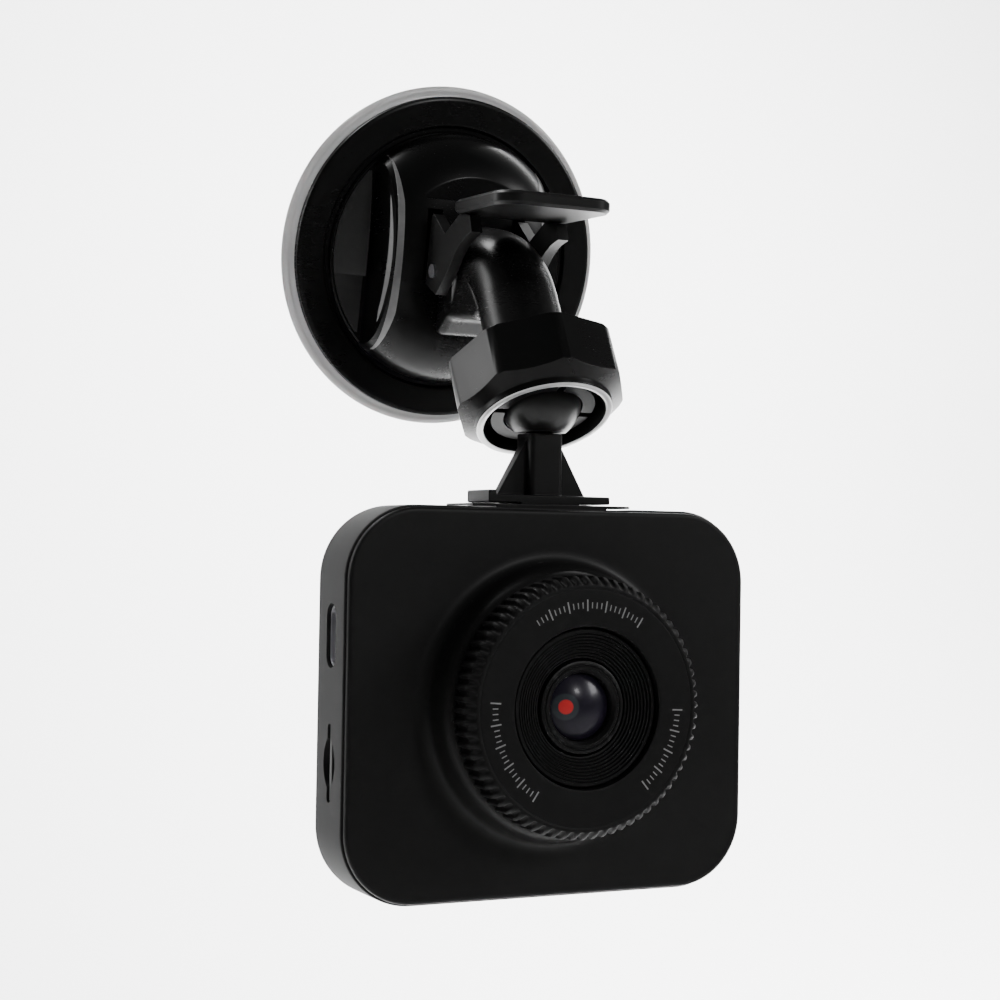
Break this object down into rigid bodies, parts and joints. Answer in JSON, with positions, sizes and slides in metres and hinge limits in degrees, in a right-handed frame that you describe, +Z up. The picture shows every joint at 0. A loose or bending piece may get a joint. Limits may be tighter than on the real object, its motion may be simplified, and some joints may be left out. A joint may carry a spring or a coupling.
{
  "type": "dash camera on suction mount",
  "caption": "Compact windscreen camera with a knurled lens ring, hung by a ball joint and cranked arm from a lever-locked suction cup.",
  "frame": {"origin": "centre of the suction cup's glass face", "axes": "+Z up, -Y the way the lens faces, +X to the right seen from the front; the glass leans back 12 degrees behind +Y"},
  "size_m": [0.0676, 0.063, 0.1316],
  "materials": {
    "soft_cup": "soft translucent grey",
    "gloss_black": "polished black",
    "satin_black": "satin black",
    "case_grey": "fine grained dark grey",
    "steel": "bright steel",
    "zinc": "zinc plated",
    "lens_glass": "coated glass",
    "screen": "clear over black",
    "board": "green board",
    "chip": "black moulding",
    "battery_wrap": "silver grey pouch",
    "friction": "matt pad",
    "light_pipe": "milky clear"
  },
  "bodies": {
    "cup_base": {"suction_cup": "soft_cup", "base_housing": "gloss_black", "return_spring": "steel", "mount_arm": "gloss_black", "arm_screw_1": "steel", "arm_screw_2": "steel"},
    "stem": {"cup_stem": "zinc", "lever_pin": "steel"},
    "lever": {"lock_lever": "satin_black"},
    "nut": {"ball_nut": "gloss_black"},
    "pad": {"friction_pad": "friction"},
    "ball_core": {"ball": "gloss_black"},
    "stud": {"foot_stud": "satin_black"},
    "camera": {"front_cover": "satin_black", "case_shell": "case_grey", "mount_shoe": "satin_black", "lens_bezel": "satin_black", "lens_barrel": "satin_black", "front_lens": "lens_glass", "inner_lens": "lens_glass", "rear_lens": "lens_glass", "lens_holder": "chip", "holder_screw_1": "steel", "holder_screw_2": "steel", "ir_filter": "lens_glass", "image_sensor": "chip", "sensor_board": "board", "main_board": "board", "main_processor": "chip", "battery": "battery_wrap", "speaker": "chip", "microphone": "zinc", "usb_socket": "steel", "card_socket": "steel", "lcd_window": "screen", "lcd_panel": "screen", "led_light_pipe": "light_pipe", "switch_power": "chip", "switch_menu": "chip", "switch_up": "chip", "switch_down": "chip", "switch_record": "chip", "case_screw_1": "steel", "case_screw_2": "steel", "case_screw_3": "steel", "case_screw_4": "steel"},
    "lens_ring": {"focus_ring": "satin_black", "ring_clip": "steel"},
    "card": {"memory_card": "chip"},
    "power_key": {"key_power": "satin_black"},
    "menu_key": {"key_menu": "satin_black"},
    "up_key": {"key_up": "satin_black"},
    "down_key": {"key_down": "satin_black"},
    "record_key": {"key_record": "satin_black"}
  },
  "joints": [
    {"name": "stem_slide", "type": "slide", "parent": "cup_base", "child": "stem", "axis": [0, -0.9781, -0.2079], "range_m": [0, 0.0025], "deforming": ["return_spring"]},
    {"name": "lever_swing", "type": "hinge", "parent": "stem", "child": "lever", "pos_m": [0, -0.01681, -0.00511], "axis": [-1, 0, 0], "range_deg": [0, 60]},
    {"name": "nut_turn", "type": "hinge", "parent": "cup_base", "child": "nut", "pos_m": [0, -0.03976, -0.02746], "axis": [0, -0.4695, -0.8829], "range_deg": [0, 270]},
    {"name": "camera_tilt", "type": "hinge", "parent": "cup_base", "child": "pad", "pos_m": [0, -0.03976, -0.02746], "axis": [-1, 0, 0], "range_deg": [-4, 60]},
    {"name": "camera_roll", "type": "hinge", "parent": "pad", "child": "ball_core", "pos_m": [0, -0.03976, -0.02746], "axis": [0, 1, 0], "range_deg": [-12, 12]},
    {"name": "camera_pan", "type": "hinge", "parent": "ball_core", "child": "stud", "pos_m": [0, -0.03976, -0.02746], "axis": [0, 0, 1], "continuous": true},
    {"name": "camera_release", "type": "slide", "parent": "stud", "child": "camera", "axis": [0, -1, 0], "range_m": [0, 0.0115]},
    {"name": "focus_turn", "type": "hinge", "parent": "camera", "child": "lens_ring", "pos_m": [0, -0.03976, -0.07366], "axis": [0, -1, 0], "range_deg": [-10, 10]},
    {"name": "card_slide", "type": "slide", "parent": "camera", "child": "card", "axis": [-1, 0, 0], "range_m": [0, 0.009]},
    {"name": "power_press", "type": "slide", "parent": "camera", "child": "power_key", "axis": [0, -1, 0], "range_m": [0, 0.0004], "stiffness_N_per_m": 400},
    {"name": "menu_press", "type": "slide", "parent": "camera", "child": "menu_key", "axis": [0, -1, 0], "range_m": [0, 0.0004], "stiffness_N_per_m": 400},
    {"name": "up_press", "type": "slide", "parent": "camera", "child": "up_key", "axis": [0, -1, 0], "range_m": [0, 0.0004], "stiffness_N_per_m": 400},
    {"name": "down_press", "type": "slide", "parent": "camera", "child": "down_key", "axis": [0, -1, 0], "range_m": [0, 0.0004], "stiffness_N_per_m": 400},
    {"name": "record_press", "type": "slide", "parent": "camera", "child": "record_key", "axis": [0, -1, 0], "range_m": [0, 0.0004], "stiffness_N_per_m": 400}
  ],
  "couplings": [
    {"joint": "lever_swing", "follows": "stem_slide", "rad_per_m": 418.88}
  ]
}
